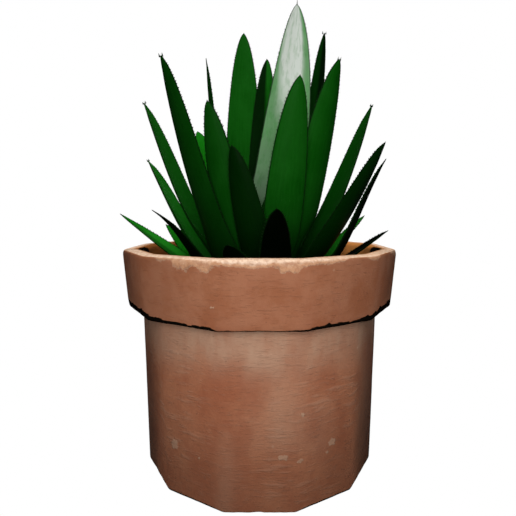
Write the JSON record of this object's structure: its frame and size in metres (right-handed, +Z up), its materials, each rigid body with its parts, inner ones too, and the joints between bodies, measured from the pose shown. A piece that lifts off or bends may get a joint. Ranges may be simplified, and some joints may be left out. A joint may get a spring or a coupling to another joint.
{
  "type": "potted aloe",
  "caption": "Upright rosette of stiff, pointed, finely toothed succulent leaves growing in a heavy twelve-sided terracotta pot with a thick collar.",
  "frame": {"origin": "centre of the pot's foot, on the surface that the pot stands on", "axes": "+Z up along the pot's axis; the front flat of the twelve-sided pot faces -Y; +X to the right as seen from the front"},
  "size_m": [0.1518, 0.1518, 0.281],
  "materials": {
    "terracotta": "unglazed fired clay, weathered, with pale lime bloom and scuffs",
    "soil": "dry crumbly potting mix",
    "crown": "fibrous old leaf bases, matt",
    "leaf": "waxy succulent skin, satin"
  },
  "bodies": {
    "root": {"pot": "terracotta", "soil": "soil", "crown": "crown", "leaf_low_01": "leaf", "leaf_low_02": "leaf", "leaf_low_03": "leaf", "leaf_low_04": "leaf", "leaf_low_05": "leaf", "leaf_low_06": "leaf", "leaf_low_07": "leaf", "leaf_low_08": "leaf", "leaf_low_09": "leaf", "leaf_low_10": "leaf", "leaf_low_11": "leaf", "leaf_low_12": "leaf", "leaf_mid_01": "leaf", "leaf_mid_02": "leaf", "leaf_mid_03": "leaf", "leaf_mid_04": "leaf", "leaf_mid_05": "leaf", "leaf_mid_06": "leaf", "leaf_mid_07": "leaf", "leaf_mid_08": "leaf", "leaf_mid_09": "leaf", "leaf_mid_10": "leaf", "leaf_high_01": "leaf", "leaf_high_02": "leaf", "leaf_high_03": "leaf", "leaf_high_04": "leaf", "leaf_high_05": "leaf", "leaf_high_06": "leaf", "leaf_core_01": "leaf", "leaf_core_02": "leaf", "leaf_core_03": "leaf", "leaf_core_04": "leaf", "leaf_core_05": "leaf"}
  },
  "joints": []
}
